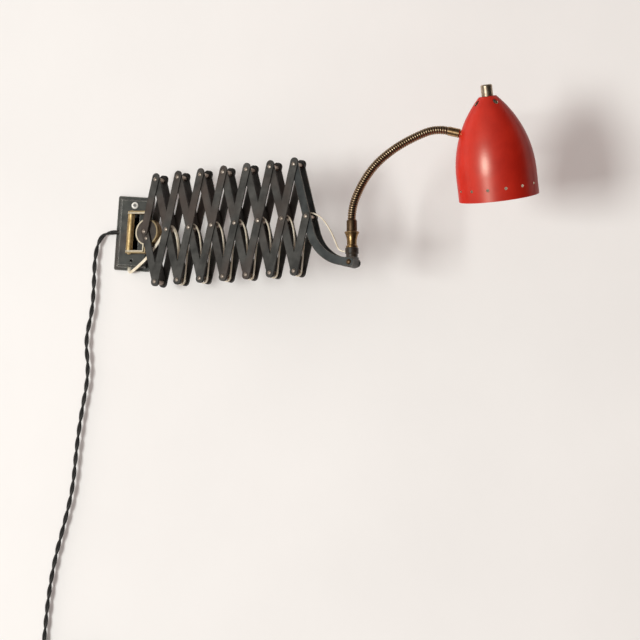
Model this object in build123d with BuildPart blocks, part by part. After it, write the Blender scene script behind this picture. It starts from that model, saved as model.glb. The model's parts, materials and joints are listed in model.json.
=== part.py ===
# Articulated scissor wall lamp
# Wall at y = 0, lamp towards -y, z up, origin at the middle of the back face, mm
import os
from math import asin, atan2, cos, degrees, pi, radians, sin, sqrt, tan
from build123d import *

os.makedirs("parts", exist_ok=True)

# Wall plate
PLATE_W = 57.0
PLATE_H = 121.0
PLATE_T = 2.0
PLATE_CORNER = 3.0
FLANGE_T = 2.0
PANEL_W = 46.4
PANEL_H = 110.0
PANEL_OUT = 15.0
PANEL_WALL = 2.0
PANEL_BEVEL = 2.4
SCREW_SPACING = 90.0
SCREW_D = 5.0
BOSS_D = 10.0
NOTCH_W = 6.0
NOTCH_H = 6.0

# Hinge
HINGE_X = -3.5
HINGE_OUT = 22.0
BARREL_D = 11.0
BARREL_L = 59.0
PIN_D = 5.0
PIN_HEAD_D = 8.4
PIN_HEAD_H = 1.7
LEAF_W = 24.0
LEAF_SHORT = 3.5
LEAF_T = 2.0
WEB_T = 6.0
WINDOW_PLAY = 1.0
WINDOW_SWING = 7.0
RUN = 0.05
END_PLAY = 0.2

# Straps and drum
HINGE_TO_DRUM = 36.0
DRUM_D = 38.0
DRUM_PAD_D = 10.0
STRAP_T = 2.3
STRAP_W = 12.4
STRAP_BEND = 2.4
STRAP_PLAY = 2.7
INNER_NECK_X = -4.0
OUTER_NECK_X = 0.0
DRUM_RIVET_AT = 11.5
DRUM_RIVET_HEAD_D = 6.0

# Rest pose
SWIVEL = 28.7
TILT = 4.3
BETA = 14.5

# Lattice
BAR_L = 170.0
BAR_W = 13.0
BAR_T = 2.0
OVER_TOP = 10.0
OVER_LOW = 7.4
BAR_PLAY = 0.4
CELLS = 6
RIVET_D = 4.0
RIVET_HEAD_D = 6.8
RIVET_HEAD_H = 1.4
HEAD_PLAY = 0.1
SLEEVE_D = 8.0

# Curved arm and knuckle
ARM_OUT = 72.05
ARM_DROP = 74.5
ARM_END_SLOPE = 9.0
ARM_BEND_R = 68.0
ARM_OVER = 2.5
BOLT_D = 5.0
BOLT_HEAD_D = 8.4
BOLT_HEAD_H = 2.0
KNUCKLE_W = 16.0
KNUCKLE_STEM_H = 4.5
KNUCKLE_STEM_D = 14.0
COLLAR_D = 20.0
COLLAR_H = 9.7
COLLAR_EDGE = 1.0
SPOOL_RING_D = 18.0
SPOOL_RING_H = 2.5
SPOOL_STEP = 1.5
SPOOL_WAIST_D = 14.6
SPOOL_WAIST_H = 3.8
SPOOL_FLARE_H = 13.9
SPOOL_FLARE = 1.0
SPOOL_FLANGE_D = 22.6
SPOOL_FLANGE_H = 2.4
SPOOL_EDGE = 0.8
LOW_FERRULE_D = 15.8
LOW_FERRULE_H = 18.2
FERRULE_NOSE = 2.0
FERRULE_LIP = 0.4
WIRE_WAY_D = 6.0
WIRE_DEPTH = 6.5

# Gooseneck
NECK_TWIST = 20.0
NECK_D = 12.8
NECK_VALLEY_D = 11.6
NECK_BORE_D = 7.0
NECK_SEGMENT = 36.0
NECK_TURNS = (22.3, 12.2, 15.6, 11.3, 8.1, 35.0)
NECK_RIBS = 10
NECK_GAP = 0.35
NECK_TAPER = 0.45
NECK_LIP = 0.4
RIB_SHARES = (0.02, 0.3, 0.7, 0.98)
UP_FERRULE_D = 13.6
UP_FERRULE_L = 18.0
UP_FERRULE_EDGE = 0.8
STUB_D = 9.0
STUB_L = 8.0
SHADE_SEAT = 0.8
NUT_ACROSS = 15.0
NUT_T = 3.0
NUT_PLAY = 1.12

# Shade
SHADE_D = 120.0
SHADE_H = 151.0
SHADE_T = 0.8
SHADE_TOP_D = 25.8
SHADE_STRAIGHT = 36.0
SHADE_ENTRY = 50.0
SHADE_LEAN = 18.8
SHADE_TURN = 17.0
RIM_HOLES = 14
RIM_HOLE_D = 4.6
RIM_HOLE_UP = 17.5
RIM_HOLE_SHIFT = 0.77
VENTS = 4
VENT_L = 10.0
VENT_W = 7.4
VENT_DOWN = 8.0
VENT_TURN = 50.0

# Lampholder, bulb and knob
HOLDER_NECK_D = 18.0
HOLDER_NECK_L = 13.0
HOLDER_SHOULDER = 2.0
HOLDER_D = 34.0
HOLDER_END = 56.0
SOCKET_D = 26.2
SOCKET_DEPTH = 22.0
BUSH_D = 10.0
BUSH_UP = 4.0
SHAFT_D = 4.0
SHAFT_DOWN = 16.0
SHAFT_PLAY = 1.0
BULB_D = 54.0
BULB_DROP = 48.0
BULB_NECK = 3.0
BULB_T = 1.0
BULB_SHOULDER_D = 30.0
KNOB_D = 17.2
KNOB_H = 17.0
KNOB_LIFT = 0.4
KNOB_PLAY = 0.5
KNOB_EDGE = 2.2

# Flex
FLEX_D = 3.2
FLEX_STAND = 0.7
FLEX_BOW = (15.5, -18.0)
FLEX_LEAD = ((0.0, -3.0, 5.0), (0.0, -5.5, -3.5), (8.0, -14.0, -1.0))
FLEX_RISE = (4.0, -36.5)
FLEX_TAIL = ((-50.5, 71.5), (-36.5, 51.5), (-27.5, 32.5))
FLEX_TURN_IN = 11.0

# Mains cord
CORD_D = 7.2
CORD_HEIGHT = 0.5
CORD_LIFT = 2.0
BUSH_WALL = 0.7
BUSH_OUT = 3.0
COIL_R = 42.0
COIL_PITCH = 8.2
COIL_TURNS = 4
COIL_X = -97.0
COIL_Z = -742.0
COIL_RUN_IN = 46.0
COIL_SAMPLES = 100
CORD_FALL = (
    (-40.0, -8.3, 0.5), (-55.0, -9.0, -11.5), (-60.0, -10.0, -45.0), (-58.0, -11.0, -85.0),
    (-57.5, -11.0, -130.0), (-65.5, -11.0, -178.0), (-55.5, -11.0, -230.0), (-63.5, -11.0, -298.0),
    (-67.0, -11.0, -355.0), (-68.0, -11.0, -418.0), (-78.5, -10.0, -478.0), (-89.5, -9.5, -535.0),
    (-95.0, -9.0, -592.0), (-96.5, -9.0, -645.0),
)
BEND_SHARE = 0.45
TIE_W = 9.0
TIE_T = 1.2
TIE_PLAY = 0.3
PLUG_TAIL = 62.0
PLUG_D = 30.0
PLUG_L = 34.0
PLUG_NECK_D = 14.0
PLUG_NECK_L = 14.0
PLUG_NECK_FLARE = 1.0
PLUG_SHOULDER = 6.0
PLUG_EDGE = 2.0
PLUG_EDGE_L = 4.0
PLUG_PIN_D = 4.0
PLUG_PIN_L = 19.0
PLUG_PIN_SPACING = 19.0

# Terminal block
BLOCK_W = 12.0
BLOCK_H = 16.0
BLOCK_PLAY = 0.6
BLOCK_CLEAR = 1.5
BLOCK_DOWN = 1.0
TERMINALS = 2
TERMINAL_D = 3.4


# Names a piece and writes it
def keep(piece, name):
    piece.label = name
    export_step(piece, "parts/" + name + ".step")
    return piece


# Rivet along its own z axis, with domed heads at both ends
def rivet(shaft_r, reach, cap_r, cap_h):
    ball = (cap_r**2 + cap_h**2) / (2 * cap_h)
    half_turn = asin(cap_r / ball) / 2
    crown_r = ball * sin(half_turn)
    crown_z = reach + cap_h - ball * (1 - cos(half_turn))
    with BuildPart() as form:
        with BuildSketch(Plane.XZ):
            with BuildLine():
                Line((0, -reach - cap_h), (0, reach + cap_h))
                ThreePointArc((0, reach + cap_h), (crown_r, crown_z), (cap_r, reach))
                Polyline((cap_r, reach), (shaft_r, reach), (shaft_r, -reach), (cap_r, -reach))
                ThreePointArc((cap_r, -reach), (crown_r, -crown_z), (0, -reach - cap_h))
            make_face()
        revolve(axis=Axis.Z)
    return form.part


# Frames of the hinge, the lattice and the neck
swivel_dir = Vector(cos(radians(SWIVEL)), -sin(radians(SWIVEL)), 0)
up = Vector(0, 0, 1)
back = Vector(sin(radians(SWIVEL)), cos(radians(SWIVEL)), 0)
hinge_point = Vector(HINGE_X, -HINGE_OUT, 0)
drum_point = hinge_point + swivel_dir * HINGE_TO_DRUM
arm_u = swivel_dir * cos(radians(TILT)) + up * sin(radians(TILT))
arm_v = up * cos(radians(TILT)) - swivel_dir * sin(radians(TILT))
YOKE = Plane(origin=drum_point, x_dir=swivel_dir, z_dir=back * -1)
ARM = Plane(origin=drum_point, x_dir=arm_u, z_dir=back * -1)
half = BAR_L / 2
step = half * sin(radians(BETA))
rise = half * cos(radians(BETA))
gap = STRAP_W / 2 + STRAP_PLAY
inner_level = gap + BAR_T / 2
outer_level = inner_level + BAR_T + BAR_PLAY
inner_face = inner_level + BAR_T / 2
outer_face = outer_level + BAR_T / 2


def top(i):
    return Vector(step * (2 * i + 1), rise)


def low(i):
    return Vector(step * (2 * i + 1), -rise)


def mid(i):
    return Vector(step * (2 * i + 2), 0)


pivot = Vector(0, 0)
knuckle_at = mid(CELLS) + Vector(ARM_OUT, -ARM_DROP)
knuckle_point = ARM.from_local_coords(knuckle_at)
neck_g = arm_u * cos(radians(NECK_TWIST)) + back * sin(radians(NECK_TWIST))
NECK = Plane(origin=knuckle_point, x_dir=neck_g, z_dir=neck_g.cross(arm_v))
neck_axis = Axis(knuckle_point, arm_v)

# Heights of the pieces stacked on the knuckle
knuckle_top = KNUCKLE_W / 2 + KNUCKLE_STEM_H
collar_top = knuckle_top + COLLAR_H
ring_top = collar_top + SPOOL_RING_H
waist_low = ring_top + SPOOL_STEP
waist_top = waist_low + SPOOL_WAIST_H
flange_low = waist_top + SPOOL_FLARE_H
spool_top = flange_low + SPOOL_FLANGE_H
ferrule_top = spool_top + LOW_FERRULE_H

# Back plate, with the notch for the flex
with BuildPart() as back_plate:
    with BuildSketch(Plane.XZ):
        RectangleRounded(PLATE_W, PLATE_H, PLATE_CORNER)
        with GridLocations(0, SCREW_SPACING, 1, 2):
            Circle(SCREW_D / 2, mode=Mode.SUBTRACT)
        with Locations((HINGE_X, -PLATE_H / 2)):
            Rectangle(NOTCH_W, NOTCH_H * 2, mode=Mode.SUBTRACT)
    extrude(amount=PLATE_T)
keep(back_plate.part, "back_plate")

# Cover: flange, raised panel with bevelled edge, window for the hinge
flange_front = PLATE_T + FLANGE_T
panel_depth = PANEL_OUT - PLATE_T - PANEL_WALL - PANEL_BEVEL
cord_out = (flange_front + PANEL_OUT - PANEL_BEVEL) / 2
bush_r = CORD_D / 2 + BUSH_WALL
window_left = BARREL_D / 2 + WINDOW_PLAY
window_right = BARREL_D / 2 + WINDOW_SWING
with BuildPart() as cover:
    with BuildSketch(Plane.XZ.offset(PLATE_T)):
        RectangleRounded(PLATE_W, PLATE_H, PLATE_CORNER)
    extrude(amount=FLANGE_T)
    with BuildSketch(Plane.XZ.offset(PLATE_T)):
        Rectangle(PANEL_W, PANEL_H)
    extrude(amount=PANEL_OUT - PLATE_T)
    chamfer(cover.faces().sort_by(Axis.Y)[0].edges(), PANEL_BEVEL)
    with BuildSketch(Plane.XZ.offset(PLATE_T)):
        Rectangle(PANEL_W - 2 * PANEL_WALL, PANEL_H - 2 * PANEL_WALL)
        with GridLocations(0, SCREW_SPACING, 1, 2):
            Circle(BOSS_D / 2, mode=Mode.SUBTRACT)
    extrude(amount=panel_depth, mode=Mode.SUBTRACT)
    with BuildSketch(Plane.XZ.offset(PLATE_T)):
        with GridLocations(0, SCREW_SPACING, 1, 2):
            Circle(SCREW_D / 2)
        with Locations((HINGE_X + (window_right - window_left) / 2, 0)):
            Rectangle(window_right + window_left, BARREL_L + 2 * WINDOW_PLAY)
        with Locations((HINGE_X, -PLATE_H / 2)):
            Rectangle(NOTCH_W, NOTCH_H * 2)
    extrude(amount=PANEL_OUT, mode=Mode.SUBTRACT)
    with BuildSketch(Plane.YZ.offset(-PANEL_W / 2)):
        with Locations((-cord_out, CORD_HEIGHT)):
            Circle(bush_r)
    extrude(amount=PANEL_WALL, mode=Mode.SUBTRACT)
keep(cover.part, "cover")

# Hinge barrel with its web and leaf
leaf_h = BARREL_L - 2 * LEAF_SHORT
with BuildPart() as hinge_barrel:
    with BuildSketch(Plane.XY.offset(-BARREL_L / 2)):
        with Locations((HINGE_X, -HINGE_OUT)):
            Circle(BARREL_D / 2)
    extrude(amount=BARREL_L)
    with BuildSketch(Plane.XY.offset(-leaf_h / 2)):
        with Locations((HINGE_X, -(HINGE_OUT + PLATE_T) / 2)):
            Rectangle(WEB_T, HINGE_OUT - PLATE_T)
        with Locations((HINGE_X, -PLATE_T - LEAF_T / 2)):
            Rectangle(LEAF_W, LEAF_T)
    extrude(amount=leaf_h)
    with BuildSketch(Plane.XY.offset(-BARREL_L / 2)):
        with Locations((HINGE_X, -HINGE_OUT)):
            Circle(PIN_D / 2 + RUN)
    extrude(amount=BARREL_L, mode=Mode.SUBTRACT)
keep(hinge_barrel.part, "hinge_barrel")

# Terminal block
block_t = panel_depth - BLOCK_PLAY
block_x = BOSS_D / 2 + BLOCK_CLEAR + BLOCK_W / 2
block_z = -(leaf_h + BLOCK_H) / 2 - BLOCK_DOWN
with BuildPart() as terminal_block:
    with BuildSketch(Plane.XZ.offset(PLATE_T)):
        with Locations((block_x, block_z)):
            Rectangle(BLOCK_W, BLOCK_H)
    extrude(amount=block_t)
    with BuildSketch(Plane.XZ.offset(PLATE_T + block_t)):
        with Locations((block_x, block_z)):
            with GridLocations(0, BLOCK_H / TERMINALS, 1, TERMINALS):
                Circle(TERMINAL_D / 2)
    extrude(amount=-block_t / 2, mode=Mode.SUBTRACT)
keep(terminal_block.part, "terminal_block")

# Hinge pin, peened over both pairs of lugs
lug_in = BARREL_L / 2 + END_PLAY
lug_out = lug_in + 2 * STRAP_T
with BuildPart() as hinge_pin:
    with Locations(hinge_point):
        add(rivet(PIN_D / 2, lug_out, PIN_HEAD_D / 2, PIN_HEAD_H))
keep(hinge_pin.part, "hinge_pin")

# Straps: each half ring has a neck and a lug at both ends
ring_in = DRUM_D / 2 + RUN
ring_out = ring_in + STRAP_T


def strap(neck_x, side, level):
    with BuildPart() as form:
        with BuildSketch(YOKE):
            Circle(ring_out)
            Circle(ring_in, mode=Mode.SUBTRACT)
            with Locations((neck_x - side * ring_out, 0)):
                Rectangle(2 * ring_out, 2 * ring_out, mode=Mode.SUBTRACT)
            for end in (1, -1):
                foot = sqrt(ring_in**2 - neck_x**2)
                with Locations((neck_x + side * STRAP_T / 2, end * (foot + level + STRAP_T) / 2)):
                    Rectangle(STRAP_T, level + STRAP_T - foot)
            Circle(ring_in, mode=Mode.SUBTRACT)
        extrude(amount=STRAP_W / 2, both=True)
        for end in (1, -1):
            lug_z = level if end > 0 else -level - STRAP_T
            with BuildSketch(Plane(origin=drum_point + up * lug_z, x_dir=swivel_dir, z_dir=up)):
                far = max(neck_x, neck_x + side * STRAP_T)
                with Locations(((far - HINGE_TO_DRUM) / 2, 0)):
                    Rectangle(far + HINGE_TO_DRUM, STRAP_W)
                with Locations((-HINGE_TO_DRUM, 0)):
                    Circle(STRAP_W / 2)
                    Circle(PIN_D / 2, mode=Mode.SUBTRACT)
            extrude(amount=STRAP_T)
        corners = form.edges().filter_by(Axis(drum_point, back)).filter_by(
            lambda e: abs(abs(e.center().Z) - level - STRAP_T) < RUN and e.length > STRAP_W - RUN
        )
        fillet(corners, STRAP_BEND)
    return form.part


strap_inner = keep(strap(INNER_NECK_X, -1, lug_in), "strap_inner")
strap_outer = keep(strap(OUTER_NECK_X - STRAP_T, 1, lug_in + STRAP_T), "strap_outer")


pivot_rivet = rivet(RIVET_D / 2, outer_face + HEAD_PLAY, RIVET_HEAD_D / 2, RIVET_HEAD_H)
drum_rivet = rivet(RIVET_D / 2, inner_face, DRUM_RIVET_HEAD_D / 2, RIVET_HEAD_H)
arm_bolt = rivet(BOLT_D / 2, inner_face, BOLT_HEAD_D / 2, BOLT_HEAD_H)
with BuildPart() as sleeve_form:
    with BuildSketch(Plane.XY):
        Circle(SLEEVE_D / 2)
        Circle(RIVET_D / 2 + HEAD_PLAY, mode=Mode.SUBTRACT)
    extrude(amount=gap, both=True)


# Place on the lattice plane
def spot(point):
    return ARM.location * Location((point.X, point.Y, 0))


def pins(points):
    with BuildPart() as form:
        with Locations([spot(p) for p in points]):
            add(pivot_rivet)
            add(sleeve_form.part)
    return form.part


# Front and back bar of one crossing, with holes for its pivots
def bars(start, end, over_start, over_end, level, holes):
    along = (end - start).normalized()
    first = start - along * (over_start - BAR_W / 2)
    last = end + along * (over_end - BAR_W / 2)
    middle = (first + last) / 2
    with BuildPart() as form:
        for side in (1, -1):
            with BuildSketch(ARM.offset(side * level)):
                with Locations((middle.X, middle.Y)):
                    SlotCenterToCenter(
                        (last - first).length, BAR_W, rotation=degrees(atan2(along.Y, along.X))
                    )
                for point, radius in holes:
                    with Locations((point.X, point.Y)):
                        Circle(radius, mode=Mode.SUBTRACT)
            extrude(amount=BAR_T / 2, both=True)
    return form.part


tight = RIVET_D / 2
free = RIVET_D / 2 + RUN

# Shared pivot of the two half bars
with BuildPart() as pivot_pin:
    with Locations([spot(pivot)]):
        add(pivot_rivet)
keep(pivot_pin.part, "pivot_pin")

# Lower half bars with the drum, which has a pad under each rivet
drum_fix = (low(0) - pivot).normalized() * DRUM_RIVET_AT
lower_half = bars(
    pivot, low(0), BAR_W / 2, OVER_LOW, inner_level,
    [(pivot, free), (low(0), tight), (drum_fix, tight)],
)
keep(lower_half, "lower_half_bars")
with BuildPart() as drum:
    with BuildSketch(ARM):
        Circle(DRUM_D / 2)
    extrude(amount=STRAP_W / 2, both=True)
    with BuildSketch(ARM):
        with Locations((pivot.X, pivot.Y), (drum_fix.X, drum_fix.Y)):
            Circle(DRUM_PAD_D / 2)
    extrude(amount=gap, both=True)
    with BuildSketch(ARM):
        Circle(free)
        with Locations((drum_fix.X, drum_fix.Y)):
            Circle(tight)
    extrude(amount=gap, both=True, mode=Mode.SUBTRACT)
keep(drum.part, "drum")
with BuildPart() as lower_pins:
    with Locations([spot(low(0))]):
        add(pivot_rivet)
        add(sleeve_form.part)
    with Locations([spot(drum_fix)]):
        add(drum_rivet)
keep(lower_pins.part, "lower_pins")

# Upper half bars
upper_half = bars(
    pivot, top(0), BAR_W / 2, OVER_TOP, outer_level, [(pivot, free), (top(0), free)]
)
keep(upper_half, "upper_half_bars")

# Crossed pairs: rising bars outside, falling bars and their pins inside
for i in range(CELLS):
    rising = bars(
        low(i), top(i + 1), OVER_LOW, OVER_TOP, outer_level,
        [(low(i), free), (mid(i), free), (top(i + 1), free)],
    )
    keep(rising, f"rising_bars_{i + 1}")
    falling = bars(
        top(i), low(i + 1), OVER_TOP, OVER_LOW, inner_level,
        [(top(i), tight), (mid(i), tight), (low(i + 1), tight)],
    )
    keep(falling, f"falling_bars_{i + 1}")
    keep(pins([top(i), mid(i), low(i + 1)]), f"pivot_pins_{i + 1}")

# Half bars at the far end
end_half = bars(
    low(CELLS), mid(CELLS), OVER_LOW, BAR_W / 2, outer_level, [(low(CELLS), free), (mid(CELLS), free)]
)
keep(end_half, "end_half_bars")

# Curved arms: straight through the last crossing, then one bend to the knuckle
arm_top = top(CELLS)
arm_mid = mid(CELLS)
fall = (arm_mid - arm_top).normalized()
run_out = Vector(cos(radians(ARM_END_SLOPE)), -sin(radians(ARM_END_SLOPE)))
cross = fall.X * run_out.Y - fall.Y * run_out.X
to_knuckle = knuckle_at - arm_mid
corner = arm_mid + fall * ((to_knuckle.X * run_out.Y - to_knuckle.Y * run_out.X) / cross)
arm_start = arm_top - fall * (OVER_TOP - BAR_W / 2)
arm_end = knuckle_at + run_out * ARM_OVER
with BuildPart() as curved_arms:
    for side in (1, -1):
        with BuildSketch(ARM.offset(side * inner_level)):
            with BuildLine(mode=Mode.PRIVATE) as arm_path:
                FilletPolyline(arm_start, corner, arm_end, radius=ARM_BEND_R)
            SlotArc(arm_path.wires()[0], BAR_W)
            for point, radius in ((arm_top, tight), (arm_mid, tight), (knuckle_at, BOLT_D / 2)):
                with Locations((point.X, point.Y)):
                    Circle(radius, mode=Mode.SUBTRACT)
        extrude(amount=BAR_T / 2, both=True)
keep(curved_arms.part, "curved_arms")
keep(pins([arm_top, arm_mid]), "arm_pins")
with BuildPart() as knuckle_bolt:
    with Locations([spot(knuckle_at)]):
        add(arm_bolt)
keep(knuckle_bolt.part, "knuckle_bolt")

# Knuckle: tongue between the arms, stem under the collar
tongue_t = 2 * (gap - END_PLAY)
UPRIGHT = Plane(origin=knuckle_point, x_dir=arm_u, z_dir=back * -1)
with BuildPart() as knuckle:
    with BuildSketch(UPRIGHT):
        Circle(KNUCKLE_W / 2)
        with Locations((0, KNUCKLE_W / 4)):
            Rectangle(KNUCKLE_STEM_D, KNUCKLE_W / 2)
        Circle(BOLT_D / 2 + RUN, mode=Mode.SUBTRACT)
    extrude(amount=tongue_t / 2, both=True)
    with BuildSketch(Plane(origin=knuckle_point + arm_v * KNUCKLE_W / 2, x_dir=arm_u, z_dir=arm_v)):
        Circle(tongue_t / 2)
    extrude(amount=KNUCKLE_STEM_H)
    with BuildSketch(Plane(origin=knuckle_point + arm_v * knuckle_top, x_dir=arm_u, z_dir=arm_v)):
        Circle(WIRE_WAY_D / 2)
    extrude(amount=-WIRE_DEPTH, mode=Mode.SUBTRACT)
keep(knuckle.part, "knuckle")


# Turned piece on the neck's upright axis, bored for the flex
def turned(outline, bore_d):
    bottom = outline[0][1]
    height = outline[-1][1]
    with BuildPart() as form:
        with BuildSketch(NECK):
            with BuildLine():
                Polyline((bore_d / 2, bottom), *outline, (bore_d / 2, height), close=True)
            make_face()
        revolve(axis=neck_axis)
    return form.part


collar = turned(
    [(COLLAR_D / 2 - COLLAR_EDGE, knuckle_top), (COLLAR_D / 2, knuckle_top + COLLAR_EDGE),
     (COLLAR_D / 2, collar_top - COLLAR_EDGE), (COLLAR_D / 2 - COLLAR_EDGE, collar_top)],
    WIRE_WAY_D,
)
keep(collar, "collar")
waist_r = SPOOL_WAIST_D / 2
flange_r = SPOOL_FLANGE_D / 2
with BuildPart() as neck_spool:
    with BuildSketch(NECK):
        with BuildLine():
            Polyline(
                (WIRE_WAY_D / 2, spool_top), (WIRE_WAY_D / 2, collar_top),
                (SPOOL_RING_D / 2, collar_top), (SPOOL_RING_D / 2, ring_top),
                (waist_r, waist_low), (waist_r, waist_top),
            )
            ThreePointArc(
                (waist_r, waist_top),
                (waist_r + SPOOL_FLARE, (waist_top + flange_low) / 2 + SPOOL_FLARE),
                (flange_r - SPOOL_EDGE, flange_low),
            )
            Polyline(
                (flange_r - SPOOL_EDGE, flange_low), (flange_r, flange_low + SPOOL_EDGE),
                (flange_r, spool_top - SPOOL_EDGE), (flange_r - SPOOL_EDGE, spool_top),
                (WIRE_WAY_D / 2, spool_top),
            )
        make_face()
    revolve(axis=neck_axis)
keep(neck_spool.part, "neck_spool")
low_ferrule = turned(
    [(LOW_FERRULE_D / 2, spool_top), (LOW_FERRULE_D / 2, ferrule_top - FERRULE_NOSE),
     (NECK_D / 2 + FERRULE_LIP, ferrule_top)],
    NECK_BORE_D,
)
keep(low_ferrule, "lower_ferrule")


# Point and heading on a neck segment, after a share of its length
def along_neck(start, heading, turn, share):
    now = heading + turn * share
    radius = NECK_SEGMENT / turn
    x = start.X + radius * (cos(heading) - cos(now))
    y = start.Y + radius * (sin(now) - sin(heading))
    return Vector(x, y), now


def neck_plane(point, heading):
    tangent = neck_g * sin(heading) + arm_v * cos(heading)
    return Plane(origin=NECK.from_local_coords(point), x_dir=NECK.z_dir, z_dir=tangent)


# Gooseneck: six bent lengths, each ribbed and bored
neck_start = Vector(0, ferrule_top)
neck_heading = 0.0
for i, turn_deg in enumerate(NECK_TURNS):
    turn = radians(turn_deg)
    begin = 0.0 if i == 0 else NECK_GAP
    finish = NECK_SEGMENT if i == len(NECK_TURNS) - 1 else NECK_SEGMENT - NECK_GAP
    pitch = (finish - begin - 2 * NECK_TAPER) / NECK_RIBS
    stations = [(begin, NECK_BORE_D / 2 + NECK_LIP)]
    for rib in range(NECK_RIBS):
        base = begin + NECK_TAPER + rib * pitch
        for share, width in zip(RIB_SHARES, (NECK_VALLEY_D, NECK_D, NECK_D, NECK_VALLEY_D)):
            stations.append((base + share * pitch, width / 2))
    stations.append((finish, NECK_BORE_D / 2 + NECK_LIP))
    with BuildPart() as neck:
        for at, radius in stations:
            point, heading = along_neck(neck_start, neck_heading, turn, at / NECK_SEGMENT)
            with BuildSketch(neck_plane(point, heading)):
                Circle(radius)
        loft(ruled=True)
        first, _ = along_neck(neck_start, neck_heading, turn, begin / NECK_SEGMENT)
        between, _ = along_neck(neck_start, neck_heading, turn, 0.5)
        last, _ = along_neck(neck_start, neck_heading, turn, finish / NECK_SEGMENT)
        with BuildLine(NECK):
            ThreePointArc(first, between, last)
        _, bore_heading = along_neck(neck_start, neck_heading, turn, begin / NECK_SEGMENT)
        with BuildSketch(neck_plane(first, bore_heading)):
            Circle(NECK_BORE_D / 2)
        sweep(mode=Mode.SUBTRACT)
    keep(neck.part, f"gooseneck_{i + 1}")
    print("gooseneck", i + 1, "start", tuple(round(c, 3) for c in NECK.from_local_coords(neck_start)))
    neck_start, neck_heading = along_neck(neck_start, neck_heading, turn, 1.0)

# Upper ferrule, from the neck's end to the shade
ferrule_dir = neck_g * sin(neck_heading) + arm_v * cos(neck_heading)
ferrule_point = NECK.from_local_coords(neck_start)
SIDE = Plane(origin=ferrule_point, x_dir=NECK.z_dir, z_dir=ferrule_dir)
stub_end = UP_FERRULE_L + SHADE_SEAT + SHADE_T + STUB_L
with BuildPart() as upper_ferrule:
    with BuildSketch(SIDE):
        Circle(UP_FERRULE_D / 2)
    extrude(amount=UP_FERRULE_L)
    chamfer(upper_ferrule.edges(), UP_FERRULE_EDGE)
    with BuildSketch(SIDE):
        Circle(STUB_D / 2)
    extrude(amount=stub_end)
    with BuildSketch(SIDE):
        Circle(WIRE_WAY_D / 2)
    extrude(amount=stub_end, mode=Mode.SUBTRACT)
keep(upper_ferrule.part, "upper_ferrule")

# Shade frame: axis leans from the ferrule, and is turned about it
entry = ferrule_point + ferrule_dir * (UP_FERRULE_L + SHADE_SEAT)
side_up = NECK.z_dir.cross(ferrule_dir).normalized()
side_out = ferrule_dir.cross(side_up)
turned_up = side_up * cos(radians(SHADE_TURN)) + side_out * sin(radians(SHADE_TURN))
shade_k = turned_up * cos(radians(SHADE_LEAN)) - ferrule_dir * sin(radians(SHADE_LEAN))
shade_e = (ferrule_dir * -1 + shade_k * ferrule_dir.dot(shade_k)).normalized()
shade_r = SHADE_D / 2
top_r = SHADE_TOP_D / 2
arc_h = SHADE_H - SHADE_STRAIGHT
arc_r = (arc_h**2 + (shade_r - top_r) ** 2) / (2 * (shade_r - top_r))


# Radius of the shade at a drop from its top, with its wall taken off
def shade_radius(drop, wall=0.0):
    side = max(arc_h - drop, 0.0)
    return shade_r - arc_r + sqrt((arc_r - wall) ** 2 - side**2)


shade_top = entry - shade_e * shade_radius(SHADE_ENTRY) + shade_k * SHADE_ENTRY
SHADE = Plane(origin=shade_top, x_dir=shade_e, z_dir=shade_e.cross(shade_k))
shade_axis = Axis(shade_top, shade_k)
inner_r = shade_radius(SHADE_T, SHADE_T)
with BuildPart() as shade:
    with BuildSketch(SHADE):
        with BuildLine():
            Line((BUSH_D / 2 + RUN, 0), (top_r, 0))
            ThreePointArc((top_r, 0), (shade_radius(arc_h / 2), -arc_h / 2), (shade_r, -arc_h))
            Polyline(
                (shade_r, -arc_h), (shade_r, -SHADE_H),
                (shade_r - SHADE_T, -SHADE_H), (shade_r - SHADE_T, -arc_h),
            )
            ThreePointArc(
                (shade_r - SHADE_T, -arc_h), (shade_radius(arc_h / 2, SHADE_T), -arc_h / 2),
                (inner_r, -SHADE_T),
            )
            Polyline((inner_r, -SHADE_T), (BUSH_D / 2 + RUN, -SHADE_T), (BUSH_D / 2 + RUN, 0))
        make_face()
    revolve(axis=shade_axis)
    with BuildSketch(Plane(origin=entry - ferrule_dir * shade_r / 4, x_dir=NECK.z_dir, z_dir=ferrule_dir)):
        Circle(STUB_D / 2 + RUN)
    extrude(amount=shade_r / 2, mode=Mode.SUBTRACT)
    for hole in range(RIM_HOLES):
        angle = 2 * pi * (hole + RIM_HOLE_SHIFT) / RIM_HOLES
        out = shade_e * cos(angle) + shade_e.cross(shade_k) * sin(angle)
        centre = shade_top - shade_k * (SHADE_H - RIM_HOLE_UP) + out * (shade_r - 3 * SHADE_T)
        with BuildSketch(Plane(origin=centre, x_dir=shade_k, z_dir=out)):
            Circle(RIM_HOLE_D / 2)
        extrude(amount=5 * SHADE_T, mode=Mode.SUBTRACT)
    for vent in range(VENTS):
        angle = 2 * pi * vent / VENTS + radians(VENT_TURN)
        out = shade_e * cos(angle) + shade_e.cross(shade_k) * sin(angle)
        wall_turn = asin((arc_h - VENT_DOWN) / arc_r)
        normal = out * cos(wall_turn) + shade_k * sin(wall_turn)
        centre = shade_top - shade_k * VENT_DOWN + out * shade_radius(VENT_DOWN) - normal * 3 * SHADE_T
        with BuildSketch(Plane(origin=centre, x_dir=out.cross(shade_k), z_dir=normal)):
            Ellipse(VENT_W / 2, VENT_L / 2)
        extrude(amount=5 * SHADE_T, mode=Mode.SUBTRACT)
keep(shade.part, "shade")

# Nut on the ferrule's stub, inside the shade
nut_at = UP_FERRULE_L + SHADE_SEAT + SHADE_T + NUT_PLAY
with BuildPart() as shade_nut:
    with BuildSketch(SIDE.offset(nut_at)):
        RegularPolygon(NUT_ACROSS / 2, 6, major_radius=False)
        Circle(STUB_D / 2, mode=Mode.SUBTRACT)
    extrude(amount=NUT_T)
keep(shade_nut.part, "shade_nut")

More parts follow.
